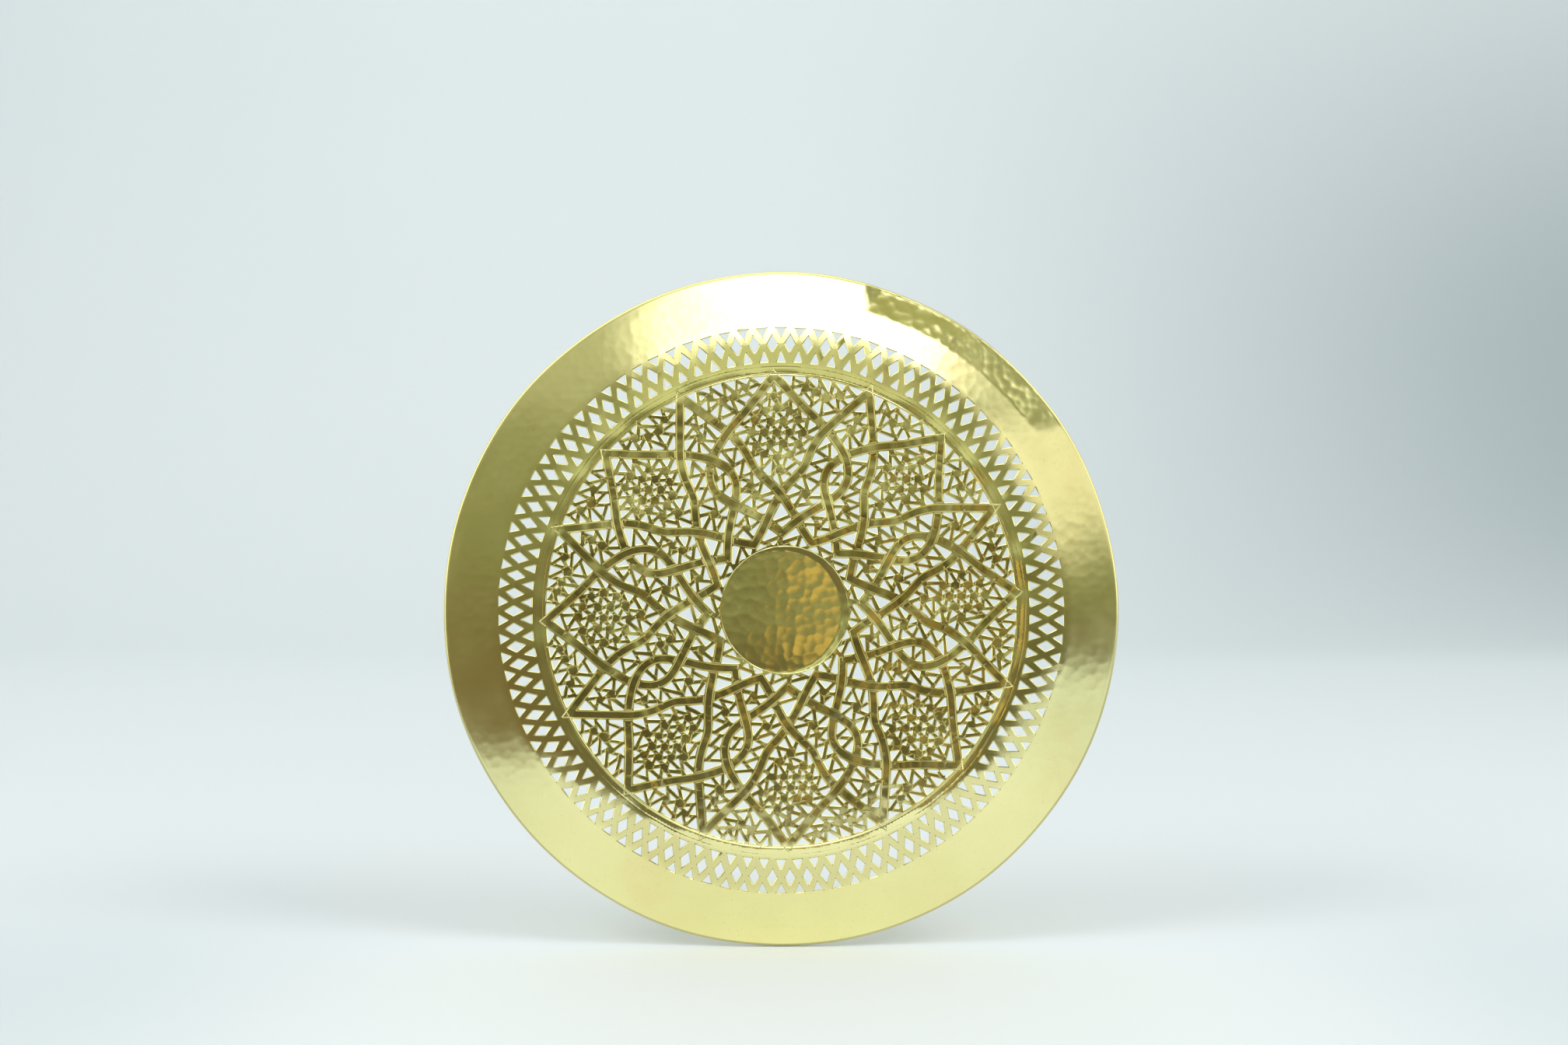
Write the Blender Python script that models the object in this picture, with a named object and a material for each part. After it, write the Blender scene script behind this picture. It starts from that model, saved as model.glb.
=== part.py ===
"""Round pierced brass tray: one raised sheet with a rolled edge, and the wire inside the edge.

The tray is held upright, as it is shown.  The disc lies in the XZ plane, its raised, engraved face looks
along -Y, and the origin is in the middle of the disc, on the rear of its flat floor.
Plane coordinates (u, v) below are millimetres from the middle of the disc, u to +X and v to +Z.
"""
from collections import defaultdict
from math import atan2, ceil, cos, floor, hypot, pi, radians, sin, tan

import bmesh
import bpy
from mathutils import Vector
from mathutils.geometry import delaunay_2d_cdt

# Driving dimensions, millimetres and degrees.
TRAY_RADIUS = 250.0
SHEET = 1.2                 # thickness of the brass
CENTRE_DISC_RADIUS = 48.0   # plain disc in the middle
FLOOR_RADIUS = 172.6        # outer edge of the fretwork
BEND_START_RADIUS = 180.0   # the flat floor ends here
BEND_END_RADIUS = 208.0     # the rim is conical from here outwards
RIM_TILT = 12.0             # how far the rim slopes back
SEGMENTS = 80               # round the circumference

STRAP_WIDTH = 6.3
PETALS = 8
CURVE_STEP = 9.0            # spacing of the points along a strap
BAR_WIDTH = 4.8             # bars that fill the cells between the straps
BAR_SPACING = 30.0          # distance between the bars' meeting points
BAR_TURN = 9.0              # each bar is turned a little, so that bars whirl round their meeting points
SMALLEST_OPENING = 30.0     # square millimetres
SHORTEST_SIDE = 1.0         # corners of an opening closer than this are one corner
FLATTEST_CORNER = 0.4       # a corner that stands out less than this is left out

LATTICE_UNITS = 94
LATTICE_INNER = (183.4, 190.8)     # inner and outer radius of the inner row of triangles
LATTICE_MIDDLE = (189.9, 203.3)    # of the rhombi
LATTICE_OUTER = (201.5, 208.1)     # of the outer row of triangles
TRIANGLE_SHARE = 0.56              # width of a triangle as a share of the pitch
RHOMBUS_SHARE = 0.64               # width of a rhombus as a share of the pitch

WIRE_RADIUS = 1.3
WIRE_GAP = 0.3
WIRE_SIDES = 6
CURL_STEP = 39.0            # degrees between the points round the rolled edge
CURL_STEPS = 7

# One arm of each strap family, as (degrees from the petal's axis, radius).
LARGE_PETAL_ARM = [(0.0, 173.5), (7.9, 149.5), (14.3, 138.0), (22.0, 123.6), (26.4, 111.5), (27.4, 102.8),
                   (26.3, 94.6), (21.7, 84.0), (11.2, 69.0), (0.0, 56.6)]
SMALL_PETAL_ARM = [(0.0, 173.5), (5.2, 147.5), (9.0, 133.0), (11.7, 118.5), (13.0, 105.5), (15.6, 99.6),
                   (22.3, 86.2), (29.5, 71.0), (36.5, 59.8), (45.0, 53.0)]

# The setting out was done by hand: degrees by which each petal's axis is off an even spacing,
# clockwise from the top, and how far the middle of the pattern lies from the middle of the tray.
AXIS_ERRORS = [-1.8, -0.6, -2.25, -3.4, -4.6, -4.5, -3.95, -3.1, -1.7, -3.1, -4.5, -3.4, -2.5, -2.3, -3.1, -2.8]
CENTRE_ERROR = (3.1, 0.9)

MERGE = 1e-4


def polar(degrees, radius):
    """Point at a clockwise angle from the top of the disc."""
    return (radius * sin(radians(degrees)), radius * cos(radians(degrees)))


def off_centre(degrees, radius):
    """Point of the fretwork, moved with the middle of the pattern; the edge of the floor stays put."""
    u, v = polar(degrees, radius)
    share = max(0.0, 1 - (radius / FLOOR_RADIUS) ** 2)
    return (u + CENTRE_ERROR[0] * share, v + CENTRE_ERROR[1] * share)


def set_out(degrees, radius):
    """Point of the strapwork, turned as far as the nearest petals' axes are."""
    marks = len(AXIS_ERRORS)
    spot = degrees / 360.0 * marks
    first = floor(spot)
    share = spot - first
    error = AXIS_ERRORS[first % marks] * (1 - share) + AXIS_ERRORS[(first + 1) % marks] * share
    return off_centre(degrees + error, radius)


def smooth_curve(points, step):
    """Catmull-Rom curve through the points, with a sample about every step."""
    ends = [points[0]] + points + [points[-1]]
    curve = []
    for p0, p1, p2, p3 in zip(ends, ends[1:], ends[2:], ends[3:]):
        pieces = max(1, round(hypot(p2[0] - p1[0], p2[1] - p1[1]) / step))
        for k in range(pieces):
            t = k / pieces
            curve.append(tuple(
                0.5 * (2 * b + (c - a) * t + (2 * a - 5 * b + 4 * c - d) * t * t
                       + (3 * b - a - 3 * c + d) * t ** 3)
                for a, b, c, d in zip(p0, p1, p2, p3)))
    curve.append(points[-1])
    return curve


def ribbon(curve, width):
    """Outline of a strip of constant width along an open curve."""
    left = []
    right = []
    for k, (x, y) in enumerate(curve):
        before = curve[max(k - 1, 0)]
        after = curve[min(k + 1, len(curve) - 1)]
        length = hypot(after[0] - before[0], after[1] - before[1])
        nx = -(after[1] - before[1]) / length * width / 2
        ny = (after[0] - before[0]) / length * width / 2
        left.append((x + nx, y + ny))
        right.append((x - nx, y - ny))
    return left + right[::-1]


def strap_outlines():
    """Every arm of both strap families, turned round the disc and mirrored."""
    outlines = []
    for arm, offset in ((LARGE_PETAL_ARM, 0.0), (SMALL_PETAL_ARM, 180.0 / PETALS)):
        for petal in range(PETALS):
            for side in (1, -1):
                axis = offset + petal * 360.0 / PETALS
                points = [set_out(axis + side * degrees, radius) for degrees, radius in arm]
                outlines.append(ribbon(smooth_curve(points, CURVE_STEP), STRAP_WIDTH))
    return outlines


def circle(radius, count):
    return [polar(360.0 * k / count, radius) for k in range(count)]


def signed_area(loop):
    return sum(a[0] * b[1] - b[0] * a[1] for a, b in zip(loop, loop[1:] + loop[:1])) / 2


def triangulate(outlines):
    """Constrained triangulation; each triangle comes with the set of outlines that cover it."""
    points = []
    faces = []
    for outline in outlines:
        loop = outline if signed_area(outline) > 0 else outline[::-1]
        faces.append(list(range(len(points), len(points) + len(loop))))
        points += [Vector(p) for p in loop]
    vertices, _, triangles, _, _, covers = delaunay_2d_cdt(points, [], faces, 0, MERGE, True)
    return [tuple(v) for v in vertices], triangles, [set(c) for c in covers]


def boundary_loops(triangles):
    """Outer boundary of each connected group of triangles, counter-clockwise."""
    neighbours = {}
    for index, triangle in enumerate(triangles):
        for a, b in zip(triangle, triangle[1:] + triangle[:1]):
            neighbours[(a, b)] = index
    seen = set()
    loops = []
    for start in range(len(triangles)):
        if start in seen:
            continue
        seen.add(start)
        group = [start]
        following = {}
        for index in group:
            triangle = triangles[index]
            for a, b in zip(triangle, triangle[1:] + triangle[:1]):
                other = neighbours.get((b, a))
                if other is None:
                    following[a] = b
                elif other not in seen:
                    seen.add(other)
                    group.append(other)
        loops.append(following)
    return loops


def walk(following, vertices):
    """The largest closed loop in a table of following vertices."""
    left = dict(following)
    best = []
    while left:
        first, vertex = next(iter(left.items()))
        loop = [first]
        del left[first]
        while vertex != first and vertex in left:
            loop.append(vertex)
            vertex = left.pop(vertex)
        points = [vertices[v] for v in loop]
        if vertex == first and signed_area(points) > signed_area(best):
            best = points
    return best


def simplified(loop):
    """Drops the points that are too close to the last one or lie on a straight run."""
    kept = []
    for point in loop:
        if not kept or hypot(point[0] - kept[-1][0], point[1] - kept[-1][1]) > SHORTEST_SIDE:
            kept.append(point)
    while len(kept) > 3 and hypot(kept[0][0] - kept[-1][0], kept[0][1] - kept[-1][1]) <= SHORTEST_SIDE:
        kept.pop()
    changed = True
    while changed and len(kept) > 3:
        changed = False
        for k, point in enumerate(kept):
            before = kept[k - 1]
            after = kept[(k + 1) % len(kept)]
            base = hypot(after[0] - before[0], after[1] - before[1])
            if base > 0 and abs(signed_area([before, point, after])) * 2 / base < FLATTEST_CORNER:
                del kept[k]
                changed = True
                break
    return kept


def openings_between(outlines, smallest):
    """Loops of the floor ring that no outline covers."""
    disc = [off_centre(720.0 * k / SEGMENTS, CENTRE_DISC_RADIUS) for k in range(SEGMENTS // 2)]
    ring = [circle(FLOOR_RADIUS, SEGMENTS), disc]
    vertices, triangles, covers = triangulate(ring + outlines)
    bare = [t for t, cover in zip(triangles, covers) if cover == {0}]
    loops = [simplified(walk(following, vertices)) for following in boundary_loops(bare)]
    return [loop for loop in loops if len(loop) > 2 and signed_area(loop) > smallest]


def inside(point, loop):
    odd = False
    for a, b in zip(loop, loop[1:] + loop[:1]):
        if (a[1] > point[1]) != (b[1] > point[1]):
            if point[0] < a[0] + (point[1] - a[1]) * (b[0] - a[0]) / (b[1] - a[1]):
                odd = not odd
    return odd


def distance_to_loop(point, loop):
    best = 1e9
    for a, b in zip(loop, loop[1:] + loop[:1]):
        dx, dy = b[0] - a[0], b[1] - a[1]
        t = ((point[0] - a[0]) * dx + (point[1] - a[1]) * dy) / max(dx * dx + dy * dy, 1e-12)
        t = min(max(t, 0.0), 1.0)
        best = min(best, hypot(point[0] - a[0] - t * dx, point[1] - a[1] - t * dy))
    return best


def resampled(loop, spacing):
    """Corners of a loop with evenly spaced points between them."""
    corners = []
    for k, point in enumerate(loop):
        before = loop[k - 1]
        after = loop[(k + 1) % len(loop)]
        turn = atan2(after[1] - point[1], after[0] - point[0]) - atan2(point[1] - before[1], point[0] - before[0])
        if abs((turn + pi) % (2 * pi) - pi) > radians(40):
            corners.append(k)
    if len(corners) < 2:
        corners = [0, len(loop) // 2]
    points = []
    for first, last in zip(corners, corners[1:] + [corners[0] + len(loop)]):
        run = [loop[k % len(loop)] for k in range(first, last + 1)]
        lengths = [hypot(b[0] - a[0], b[1] - a[1]) for a, b in zip(run, run[1:])]
        pieces = max(1, round(sum(lengths) / spacing))
        for k in range(pieces):
            target = sum(lengths) * k / pieces
            i = 0
            while i < len(lengths) - 1 and target > lengths[i]:
                target -= lengths[i]
                i += 1
            t = target / lengths[i]
            points.append((run[i][0] + t * (run[i + 1][0] - run[i][0]),
                           run[i][1] + t * (run[i + 1][1] - run[i][1])))
    return points


def rosette_points(loop, spacing):
    """Rings of points round the roomiest spot of a cell, then single points wherever there is room."""
    low = (min(p[0] for p in loop), min(p[1] for p in loop))
    high = (max(p[0] for p in loop), max(p[1] for p in loop))
    step = spacing / 5
    grid = []
    for i in range(ceil((high[0] - low[0]) / step)):
        for j in range(ceil((high[1] - low[1]) / step)):
            point = (low[0] + i * step, low[1] + j * step)
            if inside(point, loop):
                grid.append((distance_to_loop(point, loop), point))
    if not grid:
        return []
    grid.sort(reverse=True)
    room, centre = grid[0]
    if room < 0.62 * spacing:
        return []
    chosen = [centre]
    ring = 1
    while room - ring * 0.95 * spacing > 0.45 * spacing:
        count = 6 * ring
        for k in range(count):
            angle = 360.0 * (k + 0.5 * ring) / count
            offset = polar(angle, 0.95 * spacing * ring)
            chosen.append((centre[0] + offset[0], centre[1] + offset[1]))
        ring += 1
    for depth, point in grid:
        if depth < 0.62 * spacing:
            break
        if all(hypot(point[0] - c[0], point[1] - c[1]) > 0.85 * spacing for c in chosen):
            chosen.append(point)
    return chosen


def bar(a, b, width, turn, overrun):
    """Straight bar from a to b, turned about its middle and run on past both ends."""
    mx, my = (a[0] + b[0]) / 2, (a[1] + b[1]) / 2
    length = hypot(b[0] - a[0], b[1] - a[1])
    direction = atan2(b[1] - a[1], b[0] - a[0]) + radians(turn)
    reach = length / 2 + overrun
    along = (cos(direction) * reach, sin(direction) * reach)
    across = (-sin(direction) * width / 2, cos(direction) * width / 2)
    return [(mx + s * along[0] + t * across[0], my + s * along[1] + t * across[1])
            for s, t in ((-1, -1), (1, -1), (1, 1), (-1, 1))]


def cell_bars(loop):
    """Bars between the points of one cell of the strapwork."""
    border = resampled(loop, BAR_SPACING)
    points = border + rosette_points(loop, BAR_SPACING)
    face = [list(range(len(border)))]
    vertices, _, triangles, sources, _, covers = delaunay_2d_cdt(
        [Vector(p) for p in points], [], face, 0, MERGE, True)
    rim_edges = {frozenset((k, (k + 1) % len(border))) for k in range(len(border))}
    edges = set()
    for triangle, cover in zip(triangles, covers):
        if cover:
            for a, b in zip(triangle, triangle[1:] + triangle[:1]):
                pair = frozenset((sources[a][0], sources[b][0]))
                if pair not in rim_edges:
                    edges.add(pair)
    bars = []
    for pair in sorted(tuple(sorted(p)) for p in edges):
        bars.append(bar(points[pair[0]], points[pair[1]], BAR_WIDTH, BAR_TURN, 1.5))
    return bars


def floor_openings():
    """Openings of the fretwork floor, between straps and bars."""
    straps = strap_outlines()
    bars = []
    for cell in openings_between(straps, SMALLEST_OPENING):
        bars += cell_bars(cell)
    return openings_between(straps + bars, SMALLEST_OPENING)


def lattice_openings():
    """Three rows of openings on the bend: triangles, rhombi, triangles."""
    pitch = 360.0 / LATTICE_UNITS
    half = pitch * TRIANGLE_SHARE / 2
    waist_half = pitch * RHOMBUS_SHARE / 2
    loops = []
    for unit in range(LATTICE_UNITS):
        middle = unit * pitch
        between = middle + pitch / 2
        low, high = LATTICE_INNER
        loops.append([polar(middle - half, low), polar(middle + half, low), polar(middle, high)])
        low, high = LATTICE_MIDDLE
        waist = (low + high) / 2
        loops.append([polar(between, low), polar(between + waist_half, waist),
                      polar(between, high), polar(between - waist_half, waist)])
        low, high = LATTICE_OUTER
        loops.append([polar(middle, low), polar(middle + half, high), polar(middle - half, high)])
    return loops


def drop(radius):
    """How far the face lies behind the flat floor at a radius."""
    slope = tan(radians(RIM_TILT))
    if radius <= BEND_START_RADIUS:
        return 0.0
    if radius <= BEND_END_RADIUS:
        return slope * (radius - BEND_START_RADIUS) ** 2 / (2 * (BEND_END_RADIUS - BEND_START_RADIUS))
    return slope * (radius - (BEND_START_RADIUS + BEND_END_RADIUS) / 2)


CURL_INNER = WIRE_RADIUS + WIRE_GAP
CURL_OUTER = CURL_INNER + SHEET
BEAD_RADIUS = TRAY_RADIUS - CURL_OUTER
BEAD_DEPTH = drop(BEAD_RADIUS + CURL_OUTER * sin(radians(RIM_TILT))) + CURL_OUTER * cos(radians(RIM_TILT))


def place(u, v, depth):
    """World position, in metres, of a plane point at a depth behind the flat floor's face."""
    return Vector((u, depth - SHEET, v)) / 1000


def curl_point(radius, sweep):
    """(distance from the tray's axis, depth) on the rolled edge."""
    angle = radians(RIM_TILT - 90.0 + sweep)
    return (BEAD_RADIUS + radius * cos(angle), BEAD_DEPTH + radius * sin(angle))


def edge_profile():
    """Rolled edge, from the rim's face round the wire and back to the rim's rear."""
    sweeps = [CURL_STEP * k for k in range(CURL_STEPS + 1)]
    outside = [curl_point(CURL_OUTER, s) for s in sweeps]
    within = [curl_point(CURL_INNER, s) for s in reversed(sweeps)]
    return outside + within


def material(name, colour, roughness):
    made = bpy.data.materials.new(name)
    made.use_nodes = True
    shader = made.node_tree.nodes["Principled BSDF"]
    shader.inputs["Base Color"].default_value = (*colour, 1.0)
    shader.inputs["Metallic"].default_value = 1.0
    shader.inputs["Roughness"].default_value = roughness
    return made


def finish(name, mesh, finish_material):
    bmesh.ops.recalc_face_normals(mesh, faces=mesh.faces)
    data = bpy.data.meshes.new(name)
    mesh.to_mesh(data)
    mesh.free()
    data.materials.append(finish_material)
    data.shade_smooth()
    data.set_sharp_from_angle(angle=radians(35))
    made = bpy.data.objects.new(name, data)
    bpy.context.scene.collection.objects.link(made)
    return made


def make_sheet():
    """The pierced disc, the rim and the rolled edge as one closed sheet."""
    loops = floor_openings() + lattice_openings()
    rim_loop = circle(BEND_END_RADIUS + 2.0, SEGMENTS)
    points, triangles, covers = triangulate([rim_loop] + loops)
    solid = [t for t, cover in zip(triangles, covers) if cover == {0}]
    mesh = bmesh.new()
    front = {}
    back = {}
    for vertex in sorted({v for t in solid for v in t}):
        u, v = points[vertex]
        depth = drop(hypot(u, v))
        front[vertex] = mesh.verts.new(place(u, v, depth))
        back[vertex] = mesh.verts.new(place(u, v, depth + SHEET))
    sides = defaultdict(int)
    for a, b, c in solid:
        mesh.faces.new((front[a], front[b], front[c]))
        mesh.faces.new((back[c], back[b], back[a]))
        for pair in ((a, b), (b, c), (c, a)):
            sides[pair] += 1
    outer = {}
    for a, b in sides:
        if (b, a) in sides:
            continue
        if min(hypot(*points[a]), hypot(*points[b])) > BEND_END_RADIUS + 1.0:
            outer[a] = b
        else:
            mesh.faces.new((front[b], front[a], back[a], back[b]))
    ring = [next(iter(outer))]
    while outer[ring[-1]] != ring[0]:
        ring.append(outer[ring[-1]])
    strips = [[front[v] for v in ring]]
    for distance, depth in edge_profile():
        strip = []
        for v in ring:
            length = hypot(*points[v])
            strip.append(mesh.verts.new(place(points[v][0] * distance / length,
                                              points[v][1] * distance / length, depth)))
        strips.append(strip)
    strips.append([back[v] for v in ring])
    for near, far in zip(strips, strips[1:]):
        for k in range(len(ring)):
            n = (k + 1) % len(ring)
            mesh.faces.new((near[k], near[n], far[n], far[k]))
    return finish("tray_sheet", mesh, material("tray_brass", (0.72, 0.58, 0.24), 0.22))


def make_wire():
    """The round wire inside the rolled edge."""
    mesh = bmesh.new()
    rings = []
    for k in range(SEGMENTS):
        ring = []
        for side in range(WIRE_SIDES):
            angle = 2 * pi * side / WIRE_SIDES
            distance = BEAD_RADIUS + WIRE_RADIUS * cos(angle)
            u, v = polar(360.0 * k / SEGMENTS, distance)
            ring.append(mesh.verts.new(place(u, v, BEAD_DEPTH + WIRE_RADIUS * sin(angle))))
        rings.append(ring)
    for near, far in zip(rings, rings[1:] + rings[:1]):
        for side in range(WIRE_SIDES):
            after = (side + 1) % WIRE_SIDES
            mesh.faces.new((near[side], far[side], far[after], near[after]))
    return finish("rim_wire", mesh, material("rim_wire_steel", (0.42, 0.41, 0.40), 0.45))


for old in list(bpy.data.objects):
    bpy.data.objects.remove(old)
make_sheet()
make_wire()
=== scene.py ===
"""Looks of the pierced brass tray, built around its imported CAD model.

The tray is shown upright with its raised, engraved face towards -Y.  Plane coordinates (u, v) are
millimetres from the middle of the disc, u to +X and v to +Z.  A depth is millimetres behind the face of
the flat floor, towards +Y.
"""
from math import atan2, ceil, cos, floor, hypot, pi, radians, sin, tan

import bpy
import numpy as np
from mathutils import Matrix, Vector
from mathutils.geometry import delaunay_2d_cdt
from mathutils.kdtree import KDTree


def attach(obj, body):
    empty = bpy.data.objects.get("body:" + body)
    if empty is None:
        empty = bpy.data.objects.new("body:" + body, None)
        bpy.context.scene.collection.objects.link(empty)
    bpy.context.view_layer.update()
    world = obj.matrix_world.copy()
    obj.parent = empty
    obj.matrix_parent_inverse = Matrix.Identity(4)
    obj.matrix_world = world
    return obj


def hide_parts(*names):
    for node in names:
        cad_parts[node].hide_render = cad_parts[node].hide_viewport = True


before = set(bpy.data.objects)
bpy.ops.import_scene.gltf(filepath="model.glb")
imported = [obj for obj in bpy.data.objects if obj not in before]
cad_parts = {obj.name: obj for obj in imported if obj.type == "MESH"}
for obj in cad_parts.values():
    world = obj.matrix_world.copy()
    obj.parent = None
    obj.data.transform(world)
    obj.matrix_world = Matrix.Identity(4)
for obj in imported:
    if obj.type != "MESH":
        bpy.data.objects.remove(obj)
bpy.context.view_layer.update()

# ---- driving dimensions, mm and degrees

TRAY_RADIUS = 250.0
SHEET = 1.2
CENTRE_DISC_RADIUS = 48.0
FLOOR_RADIUS = 172.6        # outer edge of the fretwork
BEND_START_RADIUS = 175.0   # the flat floor ends here
BEND_END_RADIUS = 213.0     # the rim is conical from here outwards
RIM_TILT = 12.0

STRAP_WIDTH = 7.6
PETALS = 8
CURVE_STEP = 1.3            # spacing of the points along a strap
EASING_ROUNDS = 25          # how often the kinks of a strap's path are smoothed
MITRE_LIMIT = 0.12          # least squared cosine of half a corner's turn; sharper mitres are cut short
FOLD_POINTS = 8             # this many points on either side of a corner may join its mitre
CROSSING_REACH = 2.6        # a crossing is sought over this many strap widths on either side
UNDER_GAP = 0.4             # a strap's lines stop this far from the strap that it passes under
OVER_GAP = 0.2              # and the sides of the strap on top are chased this far short of its own
BAR_WIDTH = 3.2             # bars that fill the cells between the straps
BAR_SPACING = 9.7           # distance between the bars' meeting points
BAR_TURN = 20.0             # each bar is turned a little, so that bars whirl round their meeting points
BAR_TURN_SPREAD = 5.0
BAR_WIDTH_SPREAD = 0.3
BAR_OVERRUN = 0.8           # each bar runs on past the points that it joins
RING_PITCH = 0.95           # between the rings of a rosette's points, as shares of the bars' spacing
POINT_ROOM = 0.62           # least distance from a point to the side of its cell
RING_ROOM = 0.45
POINT_GAP = 0.85            # least distance between points
OVERLAP_STEP = 0.6          # spacing of the points along a line that parts two bars
SMALLEST_OPENING = 2.0      # square millimetres
SHORTEST_SIDE = 0.5         # corners of an opening closer than this are one corner
FLATTEST_CORNER = 0.12      # a corner that stands out less than this is left out

LATTICE_UNITS = 94
LATTICE_INNER = (183.4, 190.8)     # inner and outer radius of the inner row of triangles
LATTICE_MIDDLE = (190.2, 203.0)    # of the rhombi
LATTICE_OUTER = (201.5, 208.1)     # of the outer row of triangles
TRIANGLE_SHARE = 0.50              # width of a triangle as a share of the pitch
RHOMBUS_SHARE = 0.56               # width of a rhombus as a share of the pitch
LATTICE_JITTER = 0.25              # how far a corner strays from its place

WIRE_RADIUS = 1.3
WIRE_GAP = 0.3
CURL_END = 273.0            # degrees that the rolled edge turns through

LIP_WIDTH = 0.22            # dark, sharply rounded lip of every opening
LIP_DEPTH = 0.10
BEVEL_WIDTH = 0.6           # burnished edge that ends in the lip
BEVEL_DEPTH = 0.31
GROOVE_INSET = 1.2          # from a strap's side to the middle of its chased line
GROOVE_HALF_WIDTH = 0.4
GROOVE_DEPTH = 0.22
GROOVE_SECTION = (-GROOVE_HALF_WIDTH, 0.0, GROOVE_HALF_WIDTH)
PIT_RADIUS = 0.45           # chisel pits beyond the corners of the openings
PIT_DEPTH = 0.45
PIT_REACH = 0.35            # least distance from a corner to the pit's middle
PIT_STRAY = 0.25            # and how much further it may lie
PIT_CORNER = 50.0           # corners that turn by more than this have a pit
CELL_CORNER = 40.0          # corners of a cell turn by more than this
SEAM_RADIUS = 210.5         # the fretwork's mesh meets the rim's mesh here
SEAM_POINTS = 1080
DISC_GRID = 1.3             # spacing of the mesh's points on the centre disc
BAND_GRID = 1.6             # and on the plain ring band
SHARP_ANGLE = 12.0          # faces that meet at more than this have a crisp edge
FACE_STEPS = 30             # rows of points from the seam to the rolled edge
CURL_STEPS = 21             # round the rolled edge
BACK_STEPS = 18             # from the rolled edge back to the seam

# One arm of each strap family, as (degrees from the petal's axis, radius).
LARGE_PETAL_ARM = [(0.0, 173.5), (7.9, 149.5), (14.3, 138.0), (22.0, 123.6), (26.4, 111.5), (27.4, 102.8),
                   (26.3, 94.6), (21.7, 84.0), (11.2, 69.0), (0.0, 56.6)]
SMALL_PETAL_ARM = [(0.0, 173.5), (5.2, 147.5), (9.0, 133.0), (11.7, 118.5), (13.0, 105.5), (15.6, 99.6),
                   (22.3, 86.2), (29.5, 71.0), (36.5, 59.8), (45.0, 53.0)]

# The setting out was done by hand: degrees by which each petal's axis is off an even spacing,
# clockwise from the top, and how far the middle of the pattern lies from the middle of the tray.
AXIS_ERRORS = [-1.8, -0.6, -2.25, -3.4, -4.6, -4.5, -3.95, -3.1,
               -1.7, -3.1, -4.5, -3.4, -2.5, -2.3, -3.1, -2.8]
CENTRE_ERROR = (3.1, 0.9)

# Chased circles: radius, half width and depth.
RING_LINES = [(174.0, 0.4, 0.12), (175.0, 0.3, 0.05), (179.3, 0.3, 0.03)]
DISC_LINE = (46.9, 0.35, 0.12)

# Hammer marks as (spacing, radius of the dish that a blow leaves, seed), and the places they cover.
DISC_MARKS = (7.0, 200.0, 11)
RIM_MARKS = (6.5, 280.0, 12)
DENT_MARKS = (6.5, 90.0, 12)
REAR_MARKS = (11.0, 110.0, 18)
DISC_FADE = (44.0, 50.0)            # the disc's marks end between these radii
RIM_FADE = (200.0, 212.0)           # the rim's marks begin between these radii
RIM_MARKS_END = (243.0, 247.5)
DOME = 0.03 / 96.0                  # the disc is slightly crowned

MARK_STRAY = 0.42                   # how far a blow lands off its place, as a share of the spacing
MARK_SPREAD = 0.35                  # how much the blows differ in depth

# Unevenness of the sheet as (height, length, number of waves added up, seed).
FRET_WAVES = (0.10, 10.0, 24, 13)
FLOOR_WAVES = (0.12, 30.0, 16, 14)
SHEET_WAVES = (0.25, 90.0, 12, 15)

# Warp of the whole tray and wander of its outline, as (size at the edge, humps round the tray, phase).
WARP = [(0.5, 2, radians(40.0)), (0.35, 3, radians(10.0))]
WANDER = [(0.35, 3, 1.0), (0.25, 7, 2.0), (0.15, 13, 0.5)]

# The rim has a dent between two angles, clockwise from the top: its ends, its inner edge and its slope.
DENT_START = (14.0, 18.0)
DENT_END = (50.0, 57.0)
DENT_RADIUS = 229.0
DENT_WIDTH = 18.0
DENT_SLOPE = 0.13

# Grime and painted shade share one value: 0 is polished brass, 1 is dark brown. The fretwork's flats and
# the rolled edge carry painted shade, the lattice and the lips of the openings are only darkened, and the
# chased lines, the pits and the rear carry dirt.
# Painted shade: the flat tops of the fretwork are darkened, in patches, standing in for the dark
# reflection of the room.
FRET_PAINTED_SHADE = 0.56
FRET_SHADE_WAVES = (0.14, 40.0, 12, 16)
# The lattice band is darkened a little.
LATTICE_DARKENING = 0.2
# The lip of every opening is darkened.
LIP_DARKENING = 0.6
GROOVE_GRIME = 0.8
PIT_GRIME = 1.3
# Painted shade: the rolled edge is darkened where it turns away from the face.
CURL_PAINTED_SHADE = 0.45
REAR_GRIME = 0.42
REAR_GRIME_WAVES = [(0.09, 45.0, 14, 17), (0.06, 9.0, 24, 19)]

MERGE = 1e-4
random = np.random.default_rng(7)


# ---- plane geometry

def stray(size):
    """Random error of up to a size either way."""
    return random.uniform(-1, 1) * size


def polar(degrees, radius):
    """Point at a clockwise angle from the top of the disc."""
    return (radius * sin(radians(degrees)), radius * cos(radians(degrees)))


def apart(a, b):
    """Distance between two points."""
    return hypot(b[0] - a[0], b[1] - a[1])


def toward(a, b, share):
    """Point part of the way from a to b."""
    return (a[0] + share * (b[0] - a[0]), a[1] + share * (b[1] - a[1]))


def pairs(loop):
    """Every two neighbours round a closed loop."""
    return zip(loop, loop[1:] + loop[:1])


def off_centre(degrees, radius):
    """Point of the fretwork, moved with the middle of the pattern; the edge of the floor stays put."""
    u, v = polar(degrees, radius)
    share = max(0.0, 1 - (radius / FLOOR_RADIUS) ** 2)
    return (u + CENTRE_ERROR[0] * share, v + CENTRE_ERROR[1] * share)


def set_out(degrees, radius):
    """Point of the strapwork, turned as far as the nearest petals' axes are."""
    marks = len(AXIS_ERRORS)
    spot = degrees / 360.0 * marks
    first = floor(spot)
    share = spot - first
    error = AXIS_ERRORS[first % marks] * (1 - share) + AXIS_ERRORS[(first + 1) % marks] * share
    return off_centre(degrees + error, radius)


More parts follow.
